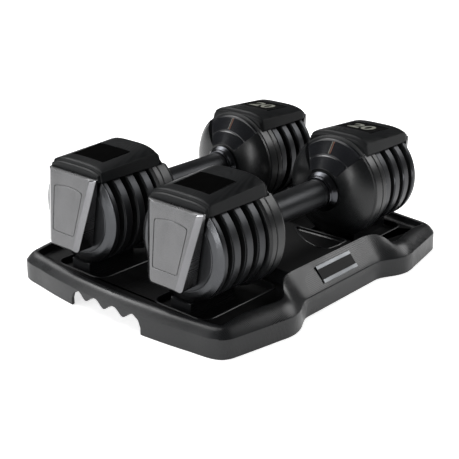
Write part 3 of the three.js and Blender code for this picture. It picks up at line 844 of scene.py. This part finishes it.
@dataclass
class Hood:
    """The arched cover over the plates, with its lips, the display window and the dividers."""

    bottom: float = 43.0
    skirt: float = 40.0
    half_width: float = 37.6
    window_centre: float = 133.4
    window_length: float = 38.4
    window_width: float = 47.0
    tilt: float = 4.3
    crest_start: float = 88.6
    crest_end: float = 166.0
    crest_height: float = 63.0
    crest_fall: float = 0.068
    window_sink: float = 0.6

    def crest(self, x: float) -> float:
        """Tells the crown's height along the hood."""
        return self.crest_height - (x - self.crest_start) * self.crest_fall

    def _stations(self) -> list[tuple[float, float, float, float, float]]:
        """Lists (x, crown, shoulder, half width, bottom) from the hand side to the shield."""
        w, b, c = self.half_width, self.bottom, self.crest
        inner = [
            (84.0, 56.4, 51.0, w - 1.3, b), (84.2, 57.4, 51.8, w - 0.9, b), (84.9, 58.6, 52.8, w - 0.5, b),
            (85.7, 58.9, 53.0, w - 0.5, b), (86.0, 58.4, 52.7, w - 0.9, b), (86.5, 58.9, 53.0, w - 0.9, b),
            (86.9, 60.3, 54.0, w - 0.3, b), (87.8, 61.8, 55.0, w - 0.1, b), (89.2, 62.7, 55.6, w, b),
            (91.5, c(91.5), 55.7, w, b),
        ]
        run = self.crest_end - self.crest_start
        middle = [(x, c(x), mix(55.8, 52.8, (x - self.crest_start) / run), w, b) for x in range(95, 166, 5)]
        e = c(self.crest_end)
        outer = [
            (166.8, e - 0.4, 52.3, w - 0.1, b), (167.9, e - 1.4, 51.4, w - 0.4, b),
            (168.5, e - 2.6, 50.4, w - 0.7, b), (168.8, e - 4.0, 49.9, w - 1.6, b),
            (169.6, e - 4.3, 49.7, w - 1.7, b), (170.0, e - 3.7, 49.9, w - 0.9, b),
            (171.2, e - 4.3, 49.4, w - 1.0, b), (171.9, e - 5.2, 48.9, w - 1.5, b),
            (172.0, e - 6.4, 48.2, w - 2.2, b),
        ]
        return [*inner, *middle, *outer]

    def _section(self, crown: float, shoulder: float, half_width: float, bottom: float) -> list[Flat]:
        """Draws one section as (y, z): straight skirts, rounded shoulders and the arched top."""
        arch = []
        steps = 20
        for i in range(steps + 1):
            y = half_width * math.cos(math.pi * i / steps)
            arch.append((y, crown - (crown - shoulder) * abs(y / half_width) ** 4))
        skirt = mix(half_width, self.skirt, min((shoulder - bottom) / 12, 1))
        corners = [(-skirt, bottom), (skirt, bottom), *arch]
        radii = [0.0, 0.0, 3.2, *[0.0] * (steps - 1), 3.2]
        return rounded(corners, radii, 6)

    def shell(self, plates: WeightPlates) -> bpy.types.Object:
        """Models the hood, its window seat and the dividers between them."""
        rings = [at_station(self._section(*rest), x) for x, *rest in self._stations()]
        body = Bench.loft("hood", rings)
        Bench.cut(body, self._tilted("tool", 1.4, 0.9, 1.4, 12))
        for k in range(1, len(plates.bevels)):
            middle = plates.outer_face - k * plates.pitch + (plates.pitch - plates.thickness) / 2
            Bench.join(body, Bench.block("tool", (middle - 1.5, -30, 26), (middle + 1.5, 30, self.bottom + 1), 0.4))
        return body

    def _tilted(self, name: str, margin: float, sink: float, radius: float, rise: float) -> bpy.types.Object:
        """Makes a plate that lies in the hood's slope, grown by a margin, sunk, and as high as asked."""
        half_x, half_y = (self.window_length + margin) / 2, (self.window_width + margin) / 2
        outline = box_outline(-half_x, half_x, -half_y, half_y, radius, 5)
        low = self.crest(self.window_centre) - 1.2 - sink
        turn = Matrix.Rotation(math.radians(self.tilt), 3, "Y")
        place = Vector((self.window_centre, 0, low))
        rings = []
        for z, inset in ((0.0, 0.0), (rise - 0.25, 0.0), (rise, 0.25)):
            scale = (half_x - inset) / half_x, (half_y - inset) / half_y
            rings.append([tuple(turn @ Vector((x * scale[0], y * scale[1], z)) + place) for x, y in outline])
        return Bench.loft(name, rings)

    def window(self) -> bpy.types.Object:
        """Models the display window, set a little below the hood's surface."""
        return self._tilted("display_window", 0.8, self.window_sink, 1.2, 1.1)

    def number(self) -> bpy.types.Object:
        """Models the weight number shown behind the window."""
        bpy.ops.object.select_all(action="DESELECT")
        bpy.ops.object.text_add()
        text = bpy.context.object
        text.data.body = "20"
        text.data.align_x = text.data.align_y = "CENTER"
        text.data.size = 30 * MM
        text.data.extrude = 0.1 * MM
        text.data.offset = 0.6 * MM
        bpy.ops.object.convert(target="MESH")
        body = bpy.context.object
        body.name = body.data.name = "weight_number"
        z = self.crest(self.window_centre) - self.window_sink
        place = (
            Matrix.Translation(Vector((self.window_centre, 0, z)) * MM)
            @ Matrix.Rotation(math.radians(self.tilt), 4, "Y") @ Matrix.Rotation(math.radians(-90), 4, "Z")
        )
        body.data.transform(place)
        return body

    def build(self, plates: WeightPlates) -> dict[str, bpy.types.Object]:
        """Models the hood, the window and the number."""
        return {"hood": self.shell(plates), "display_window": self.window(), "weight_number": self.number()}


@dataclass
class EndCap:
    """The leaning shield on the outer face, with chamfered sides and an engraved panel."""

    back: float = 172.3
    top: float = 46.6
    bottom: float = -32.9
    top_front: float = 178.0
    bottom_front: float = 195.1
    top_width: float = 37.4
    bottom_width: float = 23.0
    chamfer_side: float = 6.5
    chamfer_depth: float = 3.0
    panel_top: float = 33.0
    panel_bottom: float = -16.0
    panel_share: float = 0.63
    groove: float = 0.7

    def _front(self, z: float) -> float:
        """Tells the station of the leaning front at a height."""
        return mix(self.top_front, self.bottom_front, (self.top - z) / (self.top - self.bottom))

    def _width(self, z: float) -> float:
        """Tells the half width at a height."""
        return mix(self.top_width, self.bottom_width, (self.top - z) / (self.top - self.bottom))

    def _outline(self, high: float, low: float, share: float, inset: float, radii: Sequence[float],
                 arch: float) -> list[Flat]:
        """Draws a four-cornered outline as (y, z), its sides following the shield and its top arched."""
        top, bottom = self._width(high) * share - inset, self._width(low) * share - inset
        crown = [(top * (1 - 2 * i / 8), high - arch * (1 - 2 * i / 8) ** 2) for i in range(9)]
        corners = [(-bottom, low), (bottom, low), *crown]
        return rounded(corners, [radii[1], radii[1], radii[0], *[0] * 7, radii[0]], 6)

    def build(self) -> dict[str, bpy.types.Object]:
        """Models the shield from its back through the chamfer to the engraved panel."""
        full = [
            (self.top, self.bottom, 0.0, (1.2, 6.0)), (self.top, self.bottom, 0.0, (1.2, 6.0)),
            (self.top - 0.1, self.bottom + 0.3, 0.5, (1.4, 6.0)),
        ]
        depth = (None, self.chamfer_depth + 0.5, self.chamfer_depth)
        rings = []
        for (high, low, inset, radii), sunk in zip(full, depth):
            outline = self._outline(high, low, 1.0, inset, radii, 0.0)
            rings.append([(self.back if sunk is None else self._front(z) - sunk, y, z) for y, z in outline])
        side = self.chamfer_side
        for high, low, inset, sunk in (
            (self.top - 0.7, self.bottom + 3.0, side - 0.6, 0.25), (self.top - 1.1, self.bottom + 3.6, side, 0.0),
        ):
            outline = self._outline(high, low, 1.0, inset, (1.6, 5.0), 0.0)
            rings.append([(self._front(z) - sunk, y, z) for y, z in outline])
        g = self.groove
        for grow, sunk in ((g / 2 + 0.15, 0.0), (g / 2, 0.15), (g * 0.3, 0.9), (-g * 0.3, 0.9), (-g / 2, 0.15),
                           (-g / 2 - 0.15, 0.0)):
            outline = self._outline(
                self.panel_top + grow, self.panel_bottom - grow, self.panel_share, -grow, (3.6, 3.0), 3.0,
            )
            rings.append([(self._front(z) - sunk, y, z) for y, z in outline])
        body = Bench.loft("end_cap", rings)
        # The chamfers get a slightly lighter colour: a painted highlight.
        Bench.paint(body, 1, self._is_chamfer)
        return {"end_cap": body}

    def _is_chamfer(self, centre: Vector, normal: Vector) -> bool:
        """Tells whether a face belongs to the glossier chamfer along a side, which gets the painted highlight."""
        turned_out = normal.x > 0.7 and 0.28 < abs(normal.y) < 0.7
        return turned_out and abs(centre.y) > self._width(centre.z) - self.chamfer_side


@dataclass
class Handle:
    """The metal grip tube and the collar at its end, which turn together."""

    radius: float = 16.4
    half_length: float = 58.0
    journal_radius: float = 14.8
    journal_end: float = 70.0
    bore: float = 12.9

    def grip(self) -> bpy.types.Object:
        """Models the tube: plain grip, a shallow groove near each end, shoulders and journals."""
        half = [
            (44.0, self.radius), (44.5, self.radius - 0.35), (45.3, self.radius - 0.35), (45.8, self.radius),
            (self.half_length, self.radius), (self.half_length, self.journal_radius),
            (self.journal_end, self.journal_radius), (self.journal_end, self.bore),
        ]
        radii = [0.2, 0, 0, 0.2, 0.5, 0, 0.5, 0.3]
        corners = [*[(-x, r) for x, r in reversed(half)], *half]
        return Bench.turn("handle_grip", rounded(corners, [*reversed(radii), *radii], 4), 96)

    def collar(self) -> bpy.types.Object:
        """Models the collar: a bead, a cone and a flange with rounded edges."""
        corners = [
            (50.0, 16.7), (50.0, 18.1), (51.8, 18.9), (52.6, 18.7), (53.4, 19.8), (56.6, 22.6),
            (57.2, 23.0), (59.4, 23.0), (59.4, 20.0), (57.9, 16.7),
        ]
        radii = [0.2, 0.6, 0.8, 0.3, 0.8, 0.8, 0.4, 0.7, 0.2, 0.2]
        return Bench.turn("handle_collar", rounded(corners, radii, 4), 96)


# ---- The two dumbbells ----


@dataclass
class Dumbbells:
    """Both dumbbells: every end piece modelled once, then copied to its four places."""

    handle: Handle = field(default_factory=Handle)
    plates: WeightPlates = field(default_factory=WeightPlates)
    housing: Housing = field(default_factory=Housing)
    hood: Hood = field(default_factory=Hood)
    cap: EndCap = field(default_factory=EndCap)

    SLOTS = {
        "inner_housing": ("housing_plastic", DOME_PLASTIC), "dial_fan": ("housing_plastic", FAN_PLASTIC),
        "pointer_mark": ("display_gloss", ORANGE_ENAMEL), "index_line": ("display_gloss", GREY_ENAMEL),
        "hood": ("housing_plastic", HOOD_PLASTIC), "display_window": ("display_gloss", ACRYLIC),
        "weight_number": ("display_gloss", GREY_ENAMEL), "handle_collar": ("handle_metal", COLLAR_METAL),
        "end_cap": ("end_cap_paint", GUNMETAL, BUFFED_GUNMETAL_HIGHLIGHT),
    }
    PLATE_SLOT = ("plate_steel", COATED_STEEL, SHADED_PLATE_FACE, PLATE_BEVEL)

    def axis(self, side: str) -> Vector:
        """Finds the middle of a dumbbell's handle in the frame."""
        low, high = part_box(f"{side}_handle_grip")
        return (low + high) / 2

    def build(self) -> None:
        """Models the pieces, copies them to both dumbbells and dresses them."""
        grip = self.handle.grip()
        parts = {
            **self.plates.build(), **self.housing.build(), **self.hood.build(self.plates), **self.cap.build(),
            "handle_collar": self.handle.collar(),
        }
        for body in (grip, *parts.values()):
            Bench.shade(body)
        for side in SIDES:
            centre = self.axis(side)
            piece = Bench.copy(grip, f"{side}_grip_tube", Matrix.Translation(centre))
            finish = HANDLE_METAL.material(centre)
            hand_in(piece, f"{side}_handle", [finish], [f"{side}_handle_grip"])
            for end, sign in ENDS.items():
                self._end(parts, side, end, Matrix.Translation(centre) @ Matrix.Diagonal((sign, 1, 1, 1)), centre)
        Bench.discard(grip, *parts.values())
        self._dress_inner()

    def _end(self, parts: dict[str, bpy.types.Object], side: str, end: str, place: Matrix, centre: Vector) -> None:
        """Copies the end pieces to one end and ties them to their bodies."""
        for name, master in parts.items():
            if name == "weight_number" and end == "front":
                continue
            plate = name.startswith("weight_plate")
            slot, *finishes = self.PLATE_SLOT if plate else self.SLOTS[name]
            body = "tray" if plate else f"{side}_handle" if name == "handle_collar" else f"{side}_frame"
            node = f"{side}_{end}_{name}"
            piece = Bench.copy(master, f"{side}_{end}_{name}_shape", place)
            nodes = [node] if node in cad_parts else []
            hand_in(piece, body, [finish.material(centre) for finish in finishes], nodes)

    def _dress_inner(self) -> None:
        """Gives the mechanism's CAD nodes their finishes."""
        finishes = {"cam_sleeve": ZINC_STEEL, "lock_bar": ZINC_STEEL, "handle_bush": BRONZE, "rubber_foot": RUBBER}
        for name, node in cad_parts.items():
            for key, finish in finishes.items():
                if key in name:
                    node.data.materials.clear()
                    node.data.materials.append(finish.material())
                    LOG.info("%s: dressed in %s", name, finish.name)


# ---- The tray ----


@dataclass
class Tray:
    """The moulded tray with its rim, deck, pockets, cradles, raised middle and finger grips."""

    end_x: float = 206.15
    end_bow: float = 15.6
    side_y: float = 151.7
    bulge_y: float = 166.2
    deck: float = 23.0
    platform: float = 40.0
    platform_x: float = 57.5
    skirt_top: float = 21.5
    pocket_start: float = 64.0
    pocket_end: float = 173.0
    pocket_half: float = 36.0
    pocket_floor: float = 17.0
    pocket_radius: float = 12.0
    bed_radius: float = 55.5
    axis_height: float = 87.4
    spacing: float = 150.0
    saddle_half: float = 14.0
    saddle_top: float = 33.5
    fin_half_thick: float = 2.4
    fin_half_wide: float = 12.0
    fin_top: float = 46.0

    def outline(self) -> list[Flat]:
        """Draws the floor outline: bowed ends, rounded corners, bulging sides and a straight waist."""
        bow = [(self.end_x - self.end_bow * (y / 150) ** 2, y) for y in (0, 23, 46, 69, 92, 114)]
        corner = [(195.2, 130.0), (193.1, 139.0), (189.2, 146.3), (183.0, 150.9), (175.0, 153.4)]
        side = [
            (150.0, 158.4), (124.0, 163.2), (110.5, self.bulge_y - 0.4), (99.0, self.bulge_y - 0.4), (88.0, 162.6),
            (78.0, 157.4), (70.0, 153.4), (62.0, self.side_y), (48.0, self.side_y), (30.0, self.side_y),
            (10.0, self.side_y),
        ]
        quarter = [*bow, *corner, *side]
        second = [(-x, y) for x, y in reversed(quarter)]
        half = [*quarter, *second]
        return [*half, *[(x, -y) for x, y in reversed(half[1:-1])]]

    def _waist(self, x: float) -> float:
        """Tells how far a station belongs to the waist, from 1 there to 0 past its folds."""
        return 1 - smoothstep(68, 94, x)

    def _end(self, x: float) -> float:
        """Tells how far a station belongs to the tray's end, from 0 along the sides to 1 there."""
        return smoothstep(150, 190, x)

    def crest(self, point: Flat) -> Flat:
        """Tells how far in and how high the rim's crest lies over a point of the outline."""
        x = abs(point[0])
        waist, end = self._waist(x), self._end(x)
        return mix(mix(17.5, 13, end), 22.5, waist), mix(mix(33.5, 30, end), 45, waist)

    def _rim_ring(self, outline: Sequence[Flat], t: float) -> Ring:
        """Gives the ring at share t of the way from the skirt's shoulder to the crest, full except at the waist."""
        moved = offset(outline, lambda p: mix(2.6, self.crest(p)[0], t))
        heights = []
        for point in outline:
            inset, height = self.crest(point)
            bulge = math.sin(t * math.pi) * mix(2.0, 0.0, self._waist(abs(point[0])))
            heights.append(mix(self.skirt_top + 2.0, height, t) + bulge)
        return [(x, y, z) for (x, y), z in zip(moved, heights)]

    def _inner_ring(self, outline: Sequence[Flat], more: float, drop: float) -> Ring:
        """Gives a ring inside the crest, lower than it by a drop."""
        moved = offset(outline, lambda p: self.crest(p)[0] + more)
        return [(x, y, self.crest(p)[1] - drop) for (x, y), p in zip(moved, outline)]

    def _shell_rings(self, outline: list[Flat]) -> list[Ring]:
        """Lists the shell's rings from the hollow underside, round the skirt and over the rim to the deck."""
        top = self.skirt_top
        below = [
            at_height(offset(outline, inset), z) for inset, z in (
                (4, self.pocket_floor - 3), (4, 0.8), (3.2, 0), (0.8, 0), (0.1, 0.8), (0.5, top - 0.9),
                (0.8, top - 0.2), (1.5, top + 0.6),
            )
        ]
        rim = [self._rim_ring(outline, t) for t in (0, 0.12, 0.3, 0.5, 0.7, 0.88, 1.0)]
        inner = [self._inner_ring(outline, 0.9, 0.25), self._inner_ring(outline, 1.5, 0.9)]
        slope = [self._slope_ring(outline, *step) for step in ((1.7, 3.4, 0.42), (1.9, 5.6, 0.12), (2.9, 8.6, 0.0))]
        return [*below, *rim, *inner, *slope]

    def _slope_ring(self, outline: Sequence[Flat], side: float, end: float, share: float) -> Ring:
        """Gives a ring of the slope down to the deck, steep along the sides and easy at the two ends.

        Args:
            outline: the floor outline.
            side: how far inside the crest it lies along the sides.
            end: how far inside the crest it lies at the ends.
            share: its height, as a share of the crest's height over the deck.

        Returns:
            The ring.
        """
        moved = offset(outline, lambda p: self.crest(p)[0] + mix(side, end, self._end(abs(p[0]))))
        return [(x, y, mix(self.deck, self.crest(p)[1], share)) for (x, y), p in zip(moved, outline)]

    def _ridge(self, outline: Sequence[Flat], z: float, width: float, height: float) -> bpy.types.Object:
        """Makes a rounded bead along an outline, standing on a surface at z."""
        half = width / 2
        section = [(-half, -2.0), (-half, height * 0.45), (-half * 0.55, height * 0.9), (0.0, height),
                   (half * 0.55, height * 0.9), (half, height * 0.45), (half, -2.0)]
        return Bench.loft("tool", [at_height(offset(outline, d), z + h) for d, h in section], tube=True)

    def _pocket(self, body: bpy.types.Object, y: float, end: int) -> None:
        """Sinks one pocket with its ridge and sets the cradle for the plates in it."""
        x0, x1 = sorted((end * self.pocket_start, end * self.pocket_end))
        half = self.pocket_half
        around = box_outline(x0 - 1.2, x1 + 1.2, y - half - 1.2, y + half + 1.2, self.pocket_radius + 1.2, 8)
        Bench.join(body, self._ridge(around, self.deck, 2.4, 1.4))
        inside = box_outline(x0, x1, y - half, y + half, self.pocket_radius, 8)
        small = box_outline(x0 + 1, x1 - 1, y - half + 1, y + half - 1, self.pocket_radius - 1, 8)
        tool = [at_height(small, self.pocket_floor), at_height(inside, self.pocket_floor + 1), at_height(inside, 60)]
        Bench.cut(body, Bench.loft("tool", tool))
        plates = WeightPlates()
        low = plates.outer_face - plates.pitch * 3 - plates.thickness
        a, b = sorted((end * low, end * plates.outer_face))
        root = self.pocket_floor - 1
        saddle = self.saddle_half
        block = Bench.block("cradle", (a, y - saddle, root), (b, y + saddle, self.saddle_top), 1.0)
        bed = Bench.turn("tool", [(a - 5, 0.5), (a - 5, self.bed_radius), (b + 5, self.bed_radius), (b + 5, 0.5)], 96)
        bed.data.transform(Matrix.Translation(Vector((0, y, self.axis_height)) * MM))
        Bench.cut(block, bed)
        Bench.join(body, block)
        for gap in range(1, 4):
            middle = end * (plates.outer_face - gap * plates.pitch + (plates.pitch - plates.thickness) / 2)
            low_corner = (middle - self.fin_half_thick, y - self.fin_half_wide, root)
            high_corner = (middle + self.fin_half_thick, y + self.fin_half_wide, self.fin_top)
            Bench.join(body, Bench.block("tool", low_corner, high_corner, 0.8))

    def _recess(self, turn: int) -> list[Flat]:
        """Draws the three-cornered hand recess, or its twin half a turn round."""
        corners = [
            (53.5, -114.5), (50.5, -45.0), (34.0, -65.5), (24.0, -82.0), (18.8, -99.0), (19.0, -113.0),
            (36.0, -115.2),
        ]
        points = rounded(corners, [4.0, 3.0, 12.0, 12.0, 12.0, 4.0, 3.0], 6)
        return [(turn * x, turn * y) for x, y in points]

    def _finger_tool(self, end: int) -> bpy.types.Object:
        """Makes the tool for a finger grip: a slot with three rounded bumps between the fingers."""
        wave = []
        steps = 42
        for i in range(steps + 1):
            y = -42 + 84 * i / steps
            swing = 0.5 - 0.5 * math.cos((y + 42) / 28 * math.tau)
            wave.append((y, 20 - 7.5 * swing ** 1.4))
        side = [(52.0, -5.0), (52.0, 8.0), (49.0, 15.5)]
        corners = [*side, *reversed(wave), *[(-y, z) for y, z in reversed(side)]]
        radii = [0, 3, 4, *[0] * len(wave), 4, 3, 0]
        outline = rounded(corners, radii, 4)
        x0, x1 = sorted((end * (self.end_x + 5), end * (self.end_x - 20)))
        return Bench.loft("tool", [at_station(outline, x0), at_station(outline, x1)])

    def build(self) -> bpy.types.Object:
        """Models the tray."""
        outline = flowing(self.outline(), 3)
        body = Bench.loft("storage_tray", self._shell_rings(outline))
        px = self.platform_x
        Bench.join(body, Bench.block("tool", (-px, -128.4, self.deck - 4), (px, 128.4, self.platform), 1.6))
        for y in (-self.spacing / 2, self.spacing / 2):
            for end in ENDS.values():
                self._pocket(body, y, end)
        for turn in (1, -1):
            shape = self._recess(turn)
            Bench.join(body, self._ridge(offset(shape, -1.0), self.platform, 2.4, 1.2))
            rings = [at_height(offset(shape, 1.2), self.platform - 3), at_height(shape, self.platform - 2)]
            Bench.cut(body, Bench.loft("tool", [*rings, at_height(shape, self.platform + 9)]))
        Bench.cut(body, Bench.block("tool", (4 - px, -116, -1), (px - 4, 116, self.platform - 6), 1.0))
        for end in ENDS.values():
            Bench.cut(body, self._finger_tool(end))
        feet = [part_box(f"rubber_foot_{i + 1}") for i in range(4)]
        for low, high in feet:
            x, y = ((low + high) / 2 / MM).xy
            ring = [(x + 11 * math.cos(a), y + 11 * math.sin(a)) for a in (math.tau * i / 32 for i in range(32))]
            Bench.join(body, Bench.loft("tool", [at_height(ring, 2.8), at_height(ring, self.pocket_floor - 2)]))
        Bench.shade(body, 32)
        # The deck, pocket floors and raised middle get a darker colour: painted shade under the dumbbells.
        Bench.paint(body, 1, self._is_shaded_deck)
        finishes = [TRAY_PLASTIC.material(), SHADED_DECK_PLASTIC.material()]
        return hand_in(body, "tray", finishes, ["tray"])

    def _is_shaded_deck(self, centre: Vector, normal: Vector) -> bool:
        """Tells whether a face belongs to the deck, pockets or raised middle: coarse-grained, and darkened as painted
        shade.
        """
        flat = normal.z > 0.95
        low = centre.z < self.deck + 0.2 and centre.z > 10
        return flat and (low or abs(centre.z - self.platform) < 0.2 or abs(centre.z - self.platform + 3) < 0.3)


@dataclass
class Badges:
    """The plate on each side's sloping panel: a black field between two silver bars."""

    slope: float = 48.3
    bar: float = 4.2
    thick: float = 1.2

    def build(self) -> None:
        """Models one badge at the frame's place for each side."""
        for side, sign in (("left", 1), ("right", -1)):
            low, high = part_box(f"{side}_badge")
            middle = (low + high) / 2 / MM
            length = (high.x - low.x) / MM
            rise = (high.z - low.z) / MM
            slope = math.radians(self.slope)
            width = (rise - self.thick * math.cos(slope)) / math.sin(slope)
            turn = Matrix.Translation(middle * MM) @ Matrix.Rotation(-sign * slope, 4, "X")
            silver, black = ALUMINIUM.material(), ACRYLIC.material()
            plate = self._bar(length, 0, width - 1.0, -0.6, 0.1)
            bars = [self._bar(length, s * (width - self.bar) / 2, self.bar, -0.6, 0.6) for s in (-1, 1)]
            plate.data.materials.append(black)
            for bar in bars:
                bar.data.materials.append(silver)
            Bench.pick(plate, *bars)
            bpy.ops.object.join()
            plate.data.transform(turn)
            plate.name = plate.data.name = f"{side}_name_plate"
            Bench.shade(plate)
            hand_in(plate, "tray", [black, silver], [f"{side}_badge"])

    def _bar(self, length: float, y: float, width: float, low: float, high: float) -> bpy.types.Object:
        """Makes one flat bar with rounded corners and a softened face."""
        outline = box_outline(-length / 2, length / 2, y - width / 2, y + width / 2, 0.9, 5)
        return Bench.loft("name_plate_bar", [
            at_height(outline, low), at_height(outline, high - 0.3), at_height(offset(outline, 0.3), high),
        ])


def main() -> None:
    """Builds the object and the studio in order."""
    logging.basicConfig(level=logging.INFO, format="%(name)s %(message)s")
    Tray().build()
    Badges().build()
    Dumbbells().build()
    low, high = cad_box
    Studio(middle=(low + high) / 2).build()


if __name__ == "__main__":
    main()
